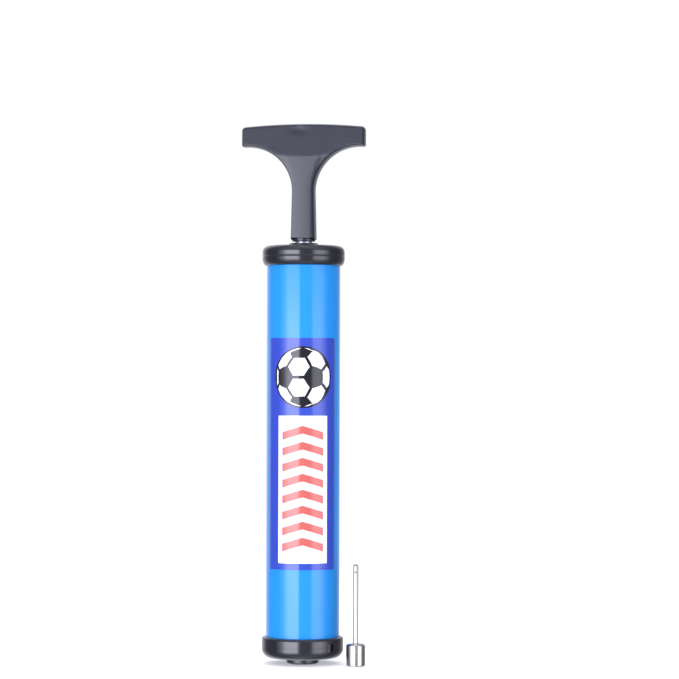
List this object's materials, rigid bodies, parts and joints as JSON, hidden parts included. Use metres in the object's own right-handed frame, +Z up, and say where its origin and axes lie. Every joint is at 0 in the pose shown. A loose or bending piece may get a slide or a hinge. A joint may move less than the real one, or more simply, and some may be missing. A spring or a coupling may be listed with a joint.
{
  "type": "ball inflation pump",
  "caption": "Slim hand pump for balls: blue plastic barrel with black end caps, T handle on a sliding rod, sprung outlet valve, and a loose inflation needle standing beside it.",
  "frame": {"origin": "centre of the nozzle's end face, on the surface that the pump stands on", "axes": "+Z up along the barrel towards the handle, +X to the right of someone who faces the label, -Y out of the label towards that person"},
  "size_m": [0.0512, 0.0338, 0.2209],
  "materials": {
    "gloss_blue": "smooth glossy moulded plastic",
    "label_film": "printed film, smooth",
    "gloss_black": "glossy moulded plastic",
    "matte_black": "satin moulded plastic",
    "charcoal": "fine-grained matte moulded plastic",
    "white_plastic": "satin moulded plastic",
    "rubber": "matte moulded rubber",
    "brass": "turned",
    "steel": "plain bright steel",
    "chrome_plate": "polished plate",
    "nickel_plate": "bright nickel plate"
  },
  "bodies": {
    "barrel": {"barrel_tube": "gloss_blue", "barrel_label": "label_film", "top_cap": "gloss_black", "rod_guide_bush": "gloss_black", "bottom_cap": "gloss_black", "barrel_gasket": "rubber", "nozzle_insert": "matte_black", "nozzle_gasket": "rubber", "valve_seat": "brass", "valve_spring": "steel"},
    "piston": {"piston_head": "white_plastic", "piston_wear_ring": "white_plastic", "piston_cup": "rubber", "cup_spreader": "steel", "stop_bumper": "rubber"},
    "handle": {"t_handle": "charcoal", "piston_rod": "chrome_plate", "rod_end_plug": "brass", "screw_washer": "steel", "piston_screw": "steel"},
    "check_valve": {"check_ball": "steel"},
    "needle": {"needle_hub": "nickel_plate", "needle_tube": "nickel_plate"}
  },
  "joints": [
    {"name": "piston_slide", "type": "slide", "parent": "barrel", "child": "piston", "axis": [0, 0, 1], "range_m": [0, 0.1181]},
    {"name": "handle_turn", "type": "hinge", "parent": "piston", "child": "handle", "pos_m": [0, 0, 0.19], "axis": [0, 0, 1], "continuous": true},
    {"name": "check_valve_slide", "type": "slide", "parent": "barrel", "child": "check_valve", "axis": [0, 0, -1], "range_m": [0, 0.0012], "stiffness_N_per_m": 60, "springref_m": -0.002, "deforming": ["valve_spring"]},
    {"name": "needle_lift", "type": "slide", "parent": "barrel", "child": "needle", "axis": [0, 0, 1], "range_m": [0, 0.06]}
  ]
}
